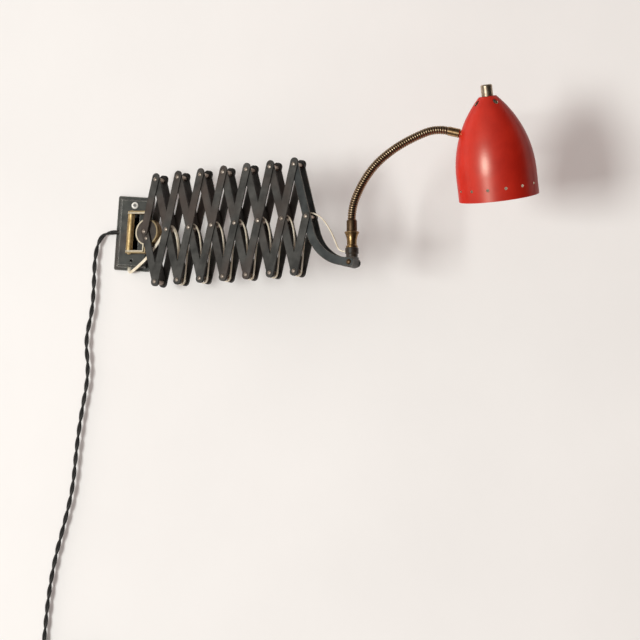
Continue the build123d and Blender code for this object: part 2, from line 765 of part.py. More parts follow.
# Lampholder under the shade's top, with the switch bush through it
with BuildPart() as lampholder:
    with BuildSketch(SHADE):
        with BuildLine():
            Polyline(
                (SHAFT_D / 2 + RUN, BUSH_UP), (BUSH_D / 2, BUSH_UP), (BUSH_D / 2, -SHADE_T),
                (HOLDER_NECK_D / 2, -SHADE_T), (HOLDER_NECK_D / 2, -HOLDER_NECK_L),
                (HOLDER_D / 2, -HOLDER_NECK_L - HOLDER_SHOULDER), (HOLDER_D / 2, -HOLDER_END),
                (SOCKET_D / 2, -HOLDER_END), (SOCKET_D / 2, SOCKET_DEPTH - HOLDER_END),
                (0, SOCKET_DEPTH - HOLDER_END), (0, -SHAFT_DOWN - SHAFT_PLAY),
                (SHAFT_D / 2 + RUN, -SHAFT_DOWN - SHAFT_PLAY),
                close=True,
            )
        make_face()
    revolve(axis=shade_axis)
keep(lampholder.part, "lampholder")

# Hollow bulb
shoulder_r = BULB_SHOULDER_D / 2
bulb_middle = HOLDER_END + BULB_DROP
shoulder_drop = bulb_middle - sqrt((BULB_D / 2) ** 2 - shoulder_r**2)
with BuildPart() as bulb:
    with BuildSketch(SHADE):
        with BuildLine():
            Polyline(
                (0, -bulb_middle - BULB_D / 2), (0, SOCKET_DEPTH - HOLDER_END),
                (SOCKET_D / 2, SOCKET_DEPTH - HOLDER_END), (SOCKET_D / 2, -HOLDER_END - BULB_NECK),
                (shoulder_r, -shoulder_drop),
            )
            ThreePointArc(
                (shoulder_r, -shoulder_drop), (BULB_D / 2, -bulb_middle), (0, -bulb_middle - BULB_D / 2)
            )
        make_face()
    revolve(axis=shade_axis)
    with Locations(shade_top - shade_k * bulb_middle):
        Sphere(BULB_D / 2 - BULB_T, mode=Mode.SUBTRACT)
keep(bulb.part, "bulb")

# Switch knob on its shaft
knob_top = KNOB_LIFT + KNOB_H
knob_r = KNOB_D / 2
well_r = BUSH_D / 2 + KNOB_PLAY
well_top = KNOB_LIFT + BUSH_UP + 2 * KNOB_PLAY
edge_in = KNOB_EDGE * (1 - cos(pi / 4))
with BuildPart() as knob:
    with BuildSketch(SHADE):
        with BuildLine():
            Polyline(
                (0, knob_top), (0, -SHAFT_DOWN), (SHAFT_D / 2, -SHAFT_DOWN), (SHAFT_D / 2, well_top),
                (well_r, well_top), (well_r, KNOB_LIFT), (knob_r, KNOB_LIFT), (knob_r, knob_top - KNOB_EDGE),
            )
            ThreePointArc(
                (knob_r, knob_top - KNOB_EDGE), (knob_r - edge_in, knob_top - edge_in),
                (knob_r - KNOB_EDGE, knob_top),
            )
            Line((knob_r - KNOB_EDGE, knob_top), (0, knob_top))
        make_face()
    revolve(axis=shade_axis)
keep(knob.part, "switch_knob")


# Fillet radii of a route, from its shorter run at each corner
def bend_radii(points):
    radii = []
    for a, b, c in zip(points, points[1:], points[2:]):
        turn = radians((b - a).get_angle(c - b))
        radii.append(BEND_SHARE * min((b - a).length, (c - b).length) / tan(turn / 2))
    return radii


# Round tube along a filleted route
def tube(points, width, name):
    radii = bend_radii(points)
    with BuildPart() as form:
        with BuildLine() as route:
            FilletPolyline(*points, radius=radii)
        with BuildSketch(Plane(origin=points[0], z_dir=points[1] - points[0])):
            Circle(width / 2)
        sweep()
    length = sum(e.length for e in route.edges())
    print(name, "radii", [round(r, 1) for r in radii], "length", round(length, 1))
    print(name, "volume share", round(form.part.volume / (pi * width**2 / 4 * length), 4))
    return form.part


# Flex: from the notch under the plate, over each middle sleeve and under each low one
wrap_w = (SLEEVE_D + FLEX_D) / 2
wrap_h = wrap_w + FLEX_STAND
flex_route = [Vector(HINGE_X, 0, -PLATE_H / 2) + Vector(point) for point in FLEX_LEAD]
flex_route.append(ARM.from_local_coords(Vector(FLEX_RISE)))
for i in range(CELLS + 1):
    over = mid(i)
    flex_route.append(ARM.from_local_coords(over + Vector(-wrap_w, wrap_h)))
    flex_route.append(ARM.from_local_coords(over + Vector(wrap_w, wrap_h)))
    if i < CELLS:
        under = low(i + 1)
        flex_route.append(ARM.from_local_coords(over + Vector(FLEX_BOW)))
        flex_route.append(ARM.from_local_coords(under + Vector(-wrap_w, -wrap_h)))
        flex_route.append(ARM.from_local_coords(under + Vector(wrap_w, -wrap_h)))
collar_side = Vector(-COLLAR_D / 2, (knuckle_top + collar_top) / 2)
for offset in (*map(Vector, FLEX_TAIL), collar_side - Vector(FLEX_TURN_IN, 0), collar_side):
    flex_route.append(ARM.from_local_coords(knuckle_at + offset))
keep(tube(flex_route, FLEX_D, "flex"), "lamp_flex")

# Cord bush in the panel's left wall
with BuildPart() as cord_bush:
    with BuildSketch(Plane.YZ.offset(-PANEL_W / 2 - BUSH_OUT)):
        with Locations((-cord_out, CORD_HEIGHT)):
            Circle(bush_r)
            Circle(CORD_D / 2, mode=Mode.SUBTRACT)
    extrude(amount=BUSH_OUT + PANEL_WALL)
keep(cord_bush.part, "cord_bush")

# Mains cord, hanging down the wall to the coil
coil_tangent = Vector(0, -COIL_PITCH, -2 * pi * COIL_R).normalized()
coil_start = Vector(COIL_X, -CORD_D - CORD_LIFT, COIL_Z)
cord_route = [Vector(PANEL_WALL - PANEL_W / 2, -cord_out, CORD_HEIGHT)]
cord_route += [Vector(point) for point in CORD_FALL]
cord_route += [coil_start - coil_tangent * COIL_RUN_IN, coil_start]
keep(tube(cord_route, CORD_D, "cord"), "mains_cord")

# Coil of the rest of the cord, with its straight tail to the plug
COIL = Plane(origin=(COIL_X + COIL_R, coil_start.Y, COIL_Z), x_dir=(-1, 0, 0), z_dir=(0, -1, 0))
loops = COIL.location * Helix(COIL_PITCH, COIL_PITCH * COIL_TURNS, COIL_R)
tail_start = coil_start + Vector(0, -COIL_PITCH * COIL_TURNS, 0)
tail_end = tail_start + coil_tangent * PLUG_TAIL
with BuildPart() as cord_coil:
    with BuildLine() as coil_route:
        add(loops)
        Line(tail_start, tail_end)
    with BuildSketch(Plane(origin=coil_start, z_dir=coil_tangent)):
        Circle(CORD_D / 2)
    sweep()
keep(cord_coil.part, "cord_coil")
coil_length = sum(e.length for e in coil_route.edges())
samples = COIL_SAMPLES * COIL_TURNS
coil_points = [loops.position_at(k / samples) for k in range(samples + 1)]
coil_pairs = ((a, b) for k, a in enumerate(coil_points) for b in coil_points[k + COIL_SAMPLES // 2:])
coil_gap = min((a - b).length for a, b in coil_pairs) - CORD_D
print("coil length", round(coil_length, 1), "self gap", round(coil_gap, 3))

# Tie round the coil's top
strand_low = COIL_PITCH * 0.75
strand_high = COIL_PITCH * (COIL_TURNS - 0.25)
tie_w = strand_high - strand_low + CORD_D + 2 * TIE_PLAY
tie_h = CORD_D + 2 * TIE_PLAY
tie_y = coil_start.Y - (strand_low + strand_high) / 2
with BuildPart() as coil_tie:
    with BuildSketch(Plane.YZ.offset(COIL_X + COIL_R - TIE_W / 2)):
        with Locations((tie_y, COIL_Z + COIL_R)):
            RectangleRounded(tie_w + 2 * TIE_T, tie_h + 2 * TIE_T, CORD_D / 2)
            RectangleRounded(tie_w, tie_h, CORD_D / 2 - TIE_T, mode=Mode.SUBTRACT)
    extrude(amount=TIE_W)
keep(coil_tie.part, "coil_tie")

# Plug on the cord's end, with two pins
PLUG = Plane(origin=tail_end, x_dir=(1, 0, 0), z_dir=coil_tangent)
UPPLUG = Plane(origin=tail_end, x_dir=(1, 0, 0), z_dir=Vector(1, 0, 0).cross(coil_tangent))
plug_r = PLUG_D / 2
shoulder_at = PLUG_NECK_L + PLUG_SHOULDER
with BuildPart() as plug_body:
    with BuildSketch(UPPLUG):
        with BuildLine():
            Polyline(
                (0, 0), (PLUG_NECK_D / 2, 0), (PLUG_NECK_D / 2 + PLUG_NECK_FLARE, PLUG_NECK_L),
                (plug_r - PLUG_EDGE, shoulder_at), (plug_r, shoulder_at + PLUG_EDGE_L),
                (plug_r, PLUG_L), (0, PLUG_L),
                close=True,
            )
        make_face()
    revolve(axis=Axis(tail_end, coil_tangent))
keep(plug_body.part, "plug_body")
with BuildPart() as plug_pins:
    with BuildSketch(PLUG.offset(PLUG_L)):
        with GridLocations(PLUG_PIN_SPACING, 0, 2, 1):
            Circle(PLUG_PIN_D / 2)
    extrude(amount=PLUG_PIN_L)
keep(plug_pins.part, "plug_pins")

# Places that the joints and mounts use
print("drum", tuple(drum_point), "u", tuple(arm_u), "v", tuple(arm_v), "back", tuple(back))
print("knuckle", tuple(knuckle_point), "neck normal", tuple(NECK.z_dir))
print("ferrule", tuple(ferrule_point), tuple(ferrule_dir))
print("shade top", tuple(shade_top), "axis", tuple(shade_k), "side", tuple(shade_e))
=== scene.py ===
import json
import bpy
import numpy as np
from mathutils import Matrix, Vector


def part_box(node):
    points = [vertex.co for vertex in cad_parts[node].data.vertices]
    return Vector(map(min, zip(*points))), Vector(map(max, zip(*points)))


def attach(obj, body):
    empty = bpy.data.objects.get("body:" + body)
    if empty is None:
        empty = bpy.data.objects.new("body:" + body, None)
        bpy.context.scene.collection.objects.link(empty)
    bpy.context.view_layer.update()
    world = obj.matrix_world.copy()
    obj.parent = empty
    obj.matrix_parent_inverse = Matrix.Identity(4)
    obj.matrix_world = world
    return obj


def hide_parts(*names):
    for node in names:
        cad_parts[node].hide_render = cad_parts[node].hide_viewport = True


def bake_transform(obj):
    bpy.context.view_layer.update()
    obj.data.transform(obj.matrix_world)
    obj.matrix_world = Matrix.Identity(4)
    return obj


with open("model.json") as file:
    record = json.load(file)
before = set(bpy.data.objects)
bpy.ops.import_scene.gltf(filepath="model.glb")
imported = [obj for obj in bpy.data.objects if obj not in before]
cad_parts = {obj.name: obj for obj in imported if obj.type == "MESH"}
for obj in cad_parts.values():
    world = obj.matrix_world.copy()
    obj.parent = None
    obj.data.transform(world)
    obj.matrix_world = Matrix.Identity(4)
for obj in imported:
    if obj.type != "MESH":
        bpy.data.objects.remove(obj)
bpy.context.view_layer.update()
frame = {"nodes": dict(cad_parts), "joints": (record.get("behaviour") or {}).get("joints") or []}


# Camera: a long lens, a little below the lamp and rolled a few degrees. Its place in metres, its turns
# in degrees and its length come from a fit to the rivets and the plate's corners.
def placing(right, up, back, at):
    """Matrix of an object at a point, with its own X, Y and Z along right, up and back."""
    placed = np.eye(4)
    placed[:3] = np.column_stack((right, up, back, at))
    return Matrix(placed.tolist())


camera_at = (0.350009, -2.731092, -0.303569)
yaw, pitch, roll = np.radians((-0.8133, 3.8251, 3.6428))
ahead = np.array((np.sin(yaw) * np.cos(pitch), np.cos(yaw) * np.cos(pitch), np.sin(pitch)))
level = np.array((np.cos(yaw), -np.sin(yaw), 0.0))
upright = np.cross(level, ahead)
lens = bpy.data.cameras.new("long_lens")
lens.lens = 94.89
lens.sensor_width = 36.0
camera = bpy.data.objects.new("camera", lens)
camera.matrix_world = placing(np.cos(roll) * level + np.sin(roll) * upright,
                              np.cos(roll) * upright - np.sin(roll) * level, -ahead, camera_at)
bpy.context.scene.collection.objects.link(camera)
bpy.context.scene.camera = camera
bpy.context.scene.view_settings.view_transform = "Standard"


# Wall: limewashed plaster in a warm off-white, trowelled nearly flat. It is only the stage, and
# from behind it lets the camera through.
def linear(code):
    """sRGB hex to linear RGBA: c / 12.92 below 0.04045, else ((c + 0.055) / 1.055) ** 2.4."""
    c = np.array([int(code[i:i + 2], 16) for i in (1, 3, 5)]) / 255
    c = np.where(c <= 0.04045, c / 12.92, ((c + 0.055) / 1.055) ** 2.4)
    return (*c.tolist(), 1.0)


def node(tree, kind, sockets=None, stops=(), **settings):
    """Adds one shader node. Settings are its properties, a socket takes a value or a link, and a
    colour ramp takes two stops of (place, hex)."""
    made = tree.nodes.new("ShaderNode" + kind)
    for name, value in settings.items():
        setattr(made, name, value)
    for name, value in (sockets or {}).items():
        if isinstance(value, bpy.types.NodeSocket):
            tree.links.new(value, made.inputs[name])
        else:
            made.inputs[name].default_value = value
    for k, (at, code) in enumerate(stops):
        made.color_ramp.elements[k].position = at
        made.color_ramp.elements[k].color = linear(code)
    return made


def finish_of(name):
    """Empty node material with its output, as (material, tree, output)."""
    made = bpy.data.materials.new(name)
    made.use_nodes = True
    made.node_tree.nodes.clear()
    return made, made.node_tree, made.node_tree.nodes.new("ShaderNodeOutputMaterial")


# Plaster: dead matt and chalky, in cloudy patches, with low trowel marks
cloud_mm, trowel_mm = 400, 25
plaster, tree, out = finish_of("limewashed_plaster")
place = node(tree, "TexCoord").outputs["Object"]
cloud = node(tree, "TexNoise", {"Vector": place, "Scale": 1000 / cloud_mm, "Detail": 3.0})
trowel = node(tree, "TexNoise", {"Vector": place, "Scale": 1000 / trowel_mm, "Detail": 4.0})
tint = node(tree, "ValToRGB", {"Fac": cloud.outputs["Fac"]}, ((0.3, "#F0EDEC"), (0.7, "#F5F2F1")))
relief = node(tree, "Bump", {"Height": trowel.outputs["Fac"], "Strength": 0.12, "Distance": 0.002})
face = node(tree, "BsdfPrincipled", {"Base Color": tint.outputs["Color"], "Roughness": 0.9,
                                     "Specular IOR Level": 0.2, "Normal": relief.outputs["Normal"]})
clear = node(tree, "BsdfTransparent")
side = node(tree, "NewGeometry")
both = node(tree, "MixShader", {0: side.outputs["Backfacing"], 1: face.outputs[0], 2: clear.outputs[0]})
tree.links.new(both.outputs[0], out.inputs[0])
wall_y, wall_low, wall_high = 0.0004, -3, 3
wall_left, wall_right = -3, 4
wall_mesh = bpy.data.meshes.new("wall")
wall_mesh.from_pydata([(wall_left, wall_y, wall_low), (wall_right, wall_y, wall_low),
                       (wall_right, wall_y, wall_high), (wall_left, wall_y, wall_high)], [], [(0, 1, 2, 3)])
wall = bpy.data.objects.new("wall", wall_mesh)
wall_mesh.materials.append(plaster)
bpy.context.scene.collection.objects.link(wall)

# Light: one large soft window far to the left, a little below the arm's level, in a pale room that
# is bright on the window's side and dim on the other. Shadows run to the right, as long as the
# piece stands out from the wall.
window_wide, window_watts, window_far = 1.35, 194.0, 5.5
lit_point = np.array((0.25, -0.1, 0.03))
key_aim = np.array((0.52, 0.84, 0.15))
key_aim /= np.linalg.norm(key_aim)
key_right = np.cross(key_aim, (0, 0, 1))
key_right /= np.linalg.norm(key_right)
key = bpy.data.lights.new("left_window", "AREA")
key.shape = "RECTANGLE"
key.size = key.size_y = window_wide
key.energy = window_watts
key.color = linear("#FAFFFB")[:3]
key_object = bpy.data.objects.new("left_window", key)
key_object.matrix_world = placing(key_right, np.cross(key_right, key_aim), -key_aim,
                                  lit_point - window_far * key_aim)
bpy.context.scene.collection.objects.link(key_object)

# The room's light falls from bright_side to nothing as a power, room_fall, of the way across
bright_side, room_fall, gloss_share, seen_strength = 1.31, 1.6, 0.16, 0.9
room = bpy.data.worlds.new("pale_room")
bpy.context.scene.world = room
room.use_nodes = True
tree = room.node_tree
tree.nodes.clear()
ray = node(tree, "LightPath")
seen = node(tree, "Math", {0: ray.outputs["Is Camera Ray"], 1: ray.outputs["Is Transmission Ray"]},
            operation="MAXIMUM")
toward = node(tree, "SeparateXYZ", {0: node(tree, "TexCoord").outputs["Generated"]})
across_room = node(tree, "MapRange", {"Value": toward.outputs["X"], "From Min": -1.0,
                                      "To Min": bright_side, "To Max": 0.0})
across_room = node(tree, "Math", {0: across_room.outputs[0], 1: room_fall}, operation="POWER")
# Metal and gloss meet the darker half of the room, behind the camera
gloss = node(tree, "MapRange", {"Value": ray.outputs["Is Glossy Ray"], "To Min": 1.0, "To Max": gloss_share})
room_level = node(tree, "Math", {0: across_room.outputs[0], 1: gloss.outputs[0]}, operation="MULTIPLY")
strength = node(tree, "Mix", {0: seen.outputs[0], 2: room_level.outputs[0], 3: seen_strength})
backdrop = node(tree, "Background", {"Color": linear("#F7ECE6"), "Strength": strength.outputs[0]})
tree.links.new(backdrop.outputs[0], node(tree, "OutputWorld").inputs[0])

# Wall plate and cover: pressed steel, stove-enamelled near black and rubbed through to pale metal along the
# edges, a pale tone that also stands as a painted highlight along the bevels. The plate is screwed to the wall
# and the cover clips over it.
cad = frame["nodes"]


def dress(material, *names):
    """Puts a material on the CAD nodes of these names."""
    for name in names:
        cad[name].data.materials.clear()
        cad[name].data.materials.append(material)


def near_edge(tree, edge_mm, flat, sharp):
    """How near an edge a point is: the dot product of a normal rounded over edge_mm and the true one,
    scaled from 0 at flat to 1 at sharp. Gives that, the rounded normal and the true one."""
    rounded = node(tree, "Bevel", {"Radius": edge_mm / 1000}, samples=6).outputs[0]
    true = node(tree, "NewGeometry").outputs["Normal"]
    match = node(tree, "VectorMath", {0: rounded, 1: true}, operation="DOT_PRODUCT")
    near = node(tree, "MapRange", {"Value": match.outputs["Value"], "From Min": flat, "From Max": sharp})
    return near.outputs[0], rounded, true


def worn_paint(name, dark, mid, edge_mark, edge_mm, patch_mm, roughness, gloss):
    """Stoved paint on steel: two tones in patches, browned in patches 3.3 times as wide, and given the
    edge_mark tone at the edges, broken up by specks of 2.4 mm: worn bare metal on most pieces, painted shade on
    the bars, and on the plate worn metal that also stands as a painted highlight. Soft shine that varies with
    the patches."""
    made, tree, out = finish_of(name)
    place = node(tree, "TexCoord").outputs["Object"]
    patch = node(tree, "TexNoise", {"Vector": place, "Scale": 1000 / patch_mm, "Detail": 4.0, "Roughness": 0.6})
    speck = node(tree, "TexNoise", {"Vector": place, "Scale": 420.0, "Detail": 5.0, "Roughness": 0.7})
    wide = node(tree, "TexNoise", {"Vector": place, "Scale": 300 / patch_mm, "Detail": 2.0})
    paint = node(tree, "ValToRGB", {"Fac": patch.outputs["Fac"]}, ((0.36, dark), (0.66, mid)))
    browned = node(tree, "MapRange", {"Value": wide.outputs["Fac"], "From Min": 0.52, "From Max": 0.68,
                                      "To Max": 0.6})
    aged = node(tree, "Mix", {"Factor": browned.outputs[0], 6: paint.outputs["Color"], 7: linear("#46362E")},
                data_type="RGBA")
    # Edge tone: worn bare metal on most pieces, painted shade on the bars, and on the plate also a painted
    # highlight
    edge, rounded, _ = near_edge(tree, edge_mm, 0.985, 0.90)
    speckled = node(tree, "MapRange", {"Value": speck.outputs["Fac"], "From Min": 0.36, "From Max": 0.54})
    edge_mask = node(tree, "Math", {0: edge, 1: speckled.outputs[0]}, operation="MULTIPLY")
    colour = node(tree, "Mix", {"Factor": edge_mask.outputs[0], 6: aged.outputs[2], 7: linear(edge_mark)},
                  data_type="RGBA")
    sheen = node(tree, "MapRange", {"Value": patch.outputs["Fac"], "To Min": roughness - 0.10,
                                    "To Max": roughness + 0.12})
    relief = node(tree, "Bump", {"Height": speck.outputs["Fac"], "Strength": 0.10, "Distance": 0.0004,
                                 "Normal": rounded})
    face = node(tree, "BsdfPrincipled", {"Base Color": colour.outputs[2], "Roughness": sheen.outputs[0],
                                         "Specular IOR Level": gloss, "Normal": relief.outputs["Normal"]})
    tree.links.new(face.outputs[0], out.inputs[0])
    return made


# The pale edge tone is worn metal and also a painted highlight along the bevels
plate_enamel = worn_paint("stoved_black_enamel", "#343634", "#4C4C47", "#C4C2BC",
                          edge_mm=1.3, patch_mm=18.0, roughness=0.36, gloss=0.5)
dress(plate_enamel, "back_plate", "cover")


# Wall screw: a cross-slotted steel screw in the plate's upper hole, in a domed ring of white nylon
# that its head fills. The lower hole stays empty, as on the real lamp.
def skin(name, rings, material, body=None, closed=False):
    """Tube through rings of points (rows along, columns round): quads join each ring to the next,
    and a fan to the mean of each end ring closes it, or the last ring joins the first where closed.
    Faces are turned to point out by the sign of the volume they hold. UV: share round, metres along."""
    rows, cols = rings.shape[:2]
    points = rings.reshape(-1, 3)
    last = rows if closed else rows - 1
    i, j = np.meshgrid(np.arange(last), np.arange(cols), indexing="ij")
    far, beside = (i + 1) % rows, (j + 1) % cols
    quads = np.stack((i * cols + j, i * cols + beside, far * cols + beside, far * cols + j), -1).reshape(-1, 4)
    steps = np.linalg.norm(np.diff(rings.mean(1), axis=0, append=rings[:1].mean(1)), axis=1)
    along = np.concatenate(([0.0], np.cumsum(steps)))
    lo, hi = along[i], along[i + 1]
    uv = np.stack((j / cols, lo, (j + 1) / cols, lo, (j + 1) / cols, hi, j / cols, hi), -1).reshape(-1, 2)
    faces = quads.tolist()
    a, b, c, d = (points[quads[:, k]] for k in range(4))
    volume = (np.cross(a, b) * c).sum() + (np.cross(a, c) * d).sum()
    if not closed:
        ends = np.arange(cols)
        nextto = (ends + 1) % cols
        top = (rows - 1) * cols
        count = len(points)
        fans = np.concatenate((np.stack((nextto, ends, np.full(cols, count)), -1),
                               np.stack((top + ends, top + nextto, np.full(cols, count + 1)), -1)))
        points = np.vstack((points, rings[0].mean(0), rings[-1].mean(0)))
        faces += fans.tolist()
        shares = np.concatenate((ends, ends)) / cols
        level_at = np.repeat((along[0], along[last]), cols)
        uv = np.vstack((uv, np.repeat(np.stack((shares, level_at), -1), 3, axis=0)))
        a, b, c = (points[fans[:, k]] for k in range(3))
        volume += (np.cross(a, b) * c).sum()
    if volume < 0:
        faces = [face[::-1] for face in faces]
        counts = np.array([len(face) for face in faces])
        starts = np.concatenate(([0], np.cumsum(counts)[:-1]))
        order = np.concatenate([np.arange(s + n - 1, s - 1, -1) for s, n in zip(starts, counts)])
        uv = uv[order]
    mesh = bpy.data.meshes.new(name)
    mesh.from_pydata(points.tolist(), [], faces)
    mesh.uv_layers.new(name="UVMap").data.foreach_set("uv", uv.astype(np.float32).ravel())
    mesh.polygons.foreach_set("use_smooth", np.ones(len(faces), bool))
    mesh.set_sharp_from_angle(angle=np.radians(40))
    mesh.materials.append(material)
    made = bpy.data.objects.new(name, mesh)
    bpy.context.scene.collection.objects.link(made)
    if body:
        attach(made, body)
    return made


def lathe(profile, foot, up, count):
    """Rings of a turned piece: (radius, height) pairs in mm swept round the line up from foot."""
    up = np.array(up) / np.linalg.norm(up)
    out = np.cross(up, (0.31, 0.95, 0.11))
    out /= np.linalg.norm(out)
    round_ = np.linspace(0, 2 * np.pi, count, endpoint=False)
    ring = np.cos(round_)[:, None] * out + np.sin(round_)[:, None] * np.cross(up, out)
    r, z = (np.array(profile, float) / 1000).T
    return np.array(foot) + r[:, None, None] * ring + z[:, None, None] * up


cap_r, cap_step, cap_rise, shank_r, shank_deep = 5.6, 0.5, 1.7, 1.9, 3.0
slot_half, slot_reach, slot_deep = 0.5, 2.8, 0.9
screw_up = 0.045
panel_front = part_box("cover")[0][1]
screw_foot = (0.0, panel_front, screw_up)
# Moulded nylon: even, slightly waxy, with faint grubby patches of 3 mm
nylon, tree, out = finish_of("white_nylon_cap")
place = node(tree, "TexCoord").outputs["Object"]
grub = node(tree, "TexNoise", {"Vector": place, "Scale": 300.0, "Detail": 3.0})
white = node(tree, "ValToRGB", {"Fac": grub.outputs["Fac"]}, ((0.3, "#D9D5CC"), (0.6, "#EFEDE8")))
# The screw's own head, grey steel, shows within 2.7 mm of the middle
off = node(tree, "VectorMath", {0: place, 1: screw_foot}, operation="SUBTRACT")
flat = node(tree, "VectorMath", {0: off.outputs[0], 1: (1.0, 0.0, 1.0)}, operation="MULTIPLY")
far = node(tree, "VectorMath", {0: flat.outputs[0]}, operation="LENGTH")
cap = node(tree, "MapRange", {"Value": far.outputs["Value"], "From Min": 0.0026, "From Max": 0.0029})
tint = node(tree, "Mix", {"Factor": cap.outputs[0], 6: linear("#8E8D8A"), 7: white.outputs["Color"]},
            data_type="RGBA")
face = node(tree, "BsdfPrincipled", {"Base Color": tint.outputs[2], "Roughness": 0.42, "IOR": 1.53})
tree.links.new(face.outputs[0], out.inputs[0])
# Dome: a quarter ellipse from the cap's edge to its middle
t = np.linspace(0, 1, 9)
dome = np.column_stack((cap_r * np.cos(t * np.pi / 2), cap_step + cap_rise * np.sin(t * np.pi / 2)))
profile = [(shank_r, -shank_deep), (shank_r, 0.0), (cap_r - 0.1, 0.0), (cap_r, 0.2), *dome[:-1].tolist(),
           (0.35, cap_step + cap_rise)]
rings = lathe(profile, screw_foot, (0, -1, 0), 40)
# Cross slot: front points within slot_half of either arm and slot_reach of the middle sink by slot_deep
rel = (rings - screw_foot) * 1000
in_slot = np.minimum(abs(rel[..., 0]), abs(rel[..., 2])) < slot_half
in_slot &= (np.hypot(rel[..., 0], rel[..., 2]) < slot_reach) & (rel[..., 1] < -0.3)
rings[..., 1] += np.where(in_slot, slot_deep / 1000, 0.0)
wall_screw = skin("wall_screw", rings, nylon, "wall_unit")

# Hinge: a drawn brass barrel and a brass pin peened over, rubbed gold where hands and the fork touch it, and
# painted near black behind the cover's front as painted shade. Two brass straps make the fork: bent flat, dull
# on the faces and pale at the edges, with a painted highlight on the cut edges that face the room. The nut
# inside the shade is of the barrel's brass.
pivot = {joint["name"]: np.array(joint["pos_m"]) for joint in frame["joints"]}
axis = {joint["name"]: np.array(joint["axis"]) for joint in frame["joints"]}
rest_dir = axis["rising_1_turn"]


def worn_brass(name, dull, gold, bright, grain, edge_mm, roughness, streak=(1.0, 1.0, 1.0),
               cut_dir=None, black_from=None):
    """Brass: patches of 7 mm between two tones, with a grain of 1 / grain metres that streak draws out along an
    axis, and bright edges. The duller it is, the softer it shines. Faces cut square to cut_dir are painted
    bright all over, a painted highlight where the cut edges catch the light, and what lies behind Y black_from
    is painted near black, a painted shade."""
    made, tree, out = finish_of(name)
    place = node(tree, "TexCoord").outputs["Object"]
    long = node(tree, "Mapping", {"Vector": place, "Scale": streak})
    drawn = node(tree, "TexNoise", {"Vector": long.outputs[0], "Scale": grain, "Detail": 4.0})
    patch = node(tree, "TexNoise", {"Vector": place, "Scale": 140.0, "Detail": 4.0, "Roughness": 0.6})
    mixed = node(tree, "Math", {0: drawn.outputs["Fac"], 1: patch.outputs["Fac"]}, operation="ADD")
    half = node(tree, "Math", {0: mixed.outputs[0], 1: 0.5}, operation="MULTIPLY")
    metal = node(tree, "ValToRGB", {"Fac": half.outputs[0]}, ((0.36, dull), (0.56, gold)))
    edge_mark, rounded, true = near_edge(tree, edge_mm, 0.98, 0.82)
    # Painted highlight: faces cut square to cut_dir take the bright tone all over, where the cut edges catch
    # the light
    if cut_dir is not None:
        along = node(tree, "VectorMath", {0: true, 1: tuple(cut_dir)}, operation="DOT_PRODUCT")
        square = node(tree, "Math", {0: along.outputs["Value"], 1: 1.0, 2: 0.3}, operation="COMPARE")
        edge_mark = node(tree, "Math", {0: edge_mark, 1: square.outputs[0]}, operation="MAXIMUM").outputs[0]
    colour = node(tree, "Mix", {"Factor": edge_mark, 6: metal.outputs["Color"], 7: linear(bright)}, data_type="RGBA")
    # Painted shade: what lies behind Y black_from is painted near black
    if black_from is not None:
        back = node(tree, "SeparateXYZ", {0: place})
        painted_shade_mask = node(tree, "Math", {0: back.outputs["Y"], 1: black_from}, operation="GREATER_THAN")
        colour = node(tree, "Mix", {"Factor": painted_shade_mask.outputs[0], 6: colour.outputs[2], 7: linear("#14110E")},
                      data_type="RGBA")
    sheen = node(tree, "MapRange", {"Value": half.outputs[0], "From Min": 0.3, "From Max": 0.7,
                                    "To Min": roughness + 0.15, "To Max": roughness - 0.05})
    relief = node(tree, "Bump", {"Height": drawn.outputs["Fac"], "Strength": 0.08, "Distance": 0.0003,
                                 "Normal": rounded})
    face = node(tree, "BsdfPrincipled", {"Base Color": colour.outputs[2], "Metallic": 1.0,
                                         "Roughness": sheen.outputs[0], "Normal": relief.outputs["Normal"]})
    tree.links.new(face.outputs[0], out.inputs[0])
    return made


# Closer than 16.5 mm to the wall, in the cover's window, the hinge is painted near black as painted shade
barrel_brass = worn_brass("drawn_brass", "#B4935F", "#E2C592", "#F0DEBC", grain=160.0, edge_mm=0.6,
                          roughness=0.50, streak=(3.0, 3.0, 0.25), black_from=-0.0165)
dress(barrel_brass, "hinge_barrel", "hinge_pin", "shade_nut")
# Both straps carry a painted highlight on the cut edges that face the room
strap_brass = worn_brass("dulled_strap_brass", "#5E4C35", "#8A7352", "#F0E2CA", grain=200.0, edge_mm=0.5,
                         roughness=0.46, cut_dir=-rest_dir)
dress(strap_brass, "strap_inner")
# The outer strap is a darker copy of the same brass: painted shade on its edges and cut faces
shaded_strap = worn_brass("shaded_strap_brass", "#5E4C35", "#8A7352", "#C2AC86", grain=200.0, edge_mm=0.5,
                        roughness=0.46, cut_dir=-rest_dir)
dress(shaded_strap, "strap_outer")

# Terminal block: a pressed porcelain block with two wire holes, fixed to the plate and hidden by the
# cover. White glaze, even and hard, with a bright shine and faint clouds of 8 mm.
porcelain, tree, out = finish_of("glazed_porcelain")
place = node(tree, "TexCoord").outputs["Object"]
cloud = node(tree, "TexNoise", {"Vector": place, "Scale": 120.0, "Detail": 2.0})
tint = node(tree, "ValToRGB", {"Fac": cloud.outputs["Fac"]}, ((0.3, "#E6E1D6"), (0.7, "#F2EEE6")))
face = node(tree, "BsdfPrincipled", {"Base Color": tint.outputs["Color"], "Roughness": 0.18, "IOR": 1.5})
tree.links.new(face.outputs[0], out.inputs[0])
dress(porcelain, "terminal_block")

# Lattice: flat steel bars, sheared and round-ended, painted charcoal and browned in wide patches, and darkened
# along the edges as painted shade. The drum that the fork grips is blackened steel. Rivets hold them all.
cells = range(1, 7)
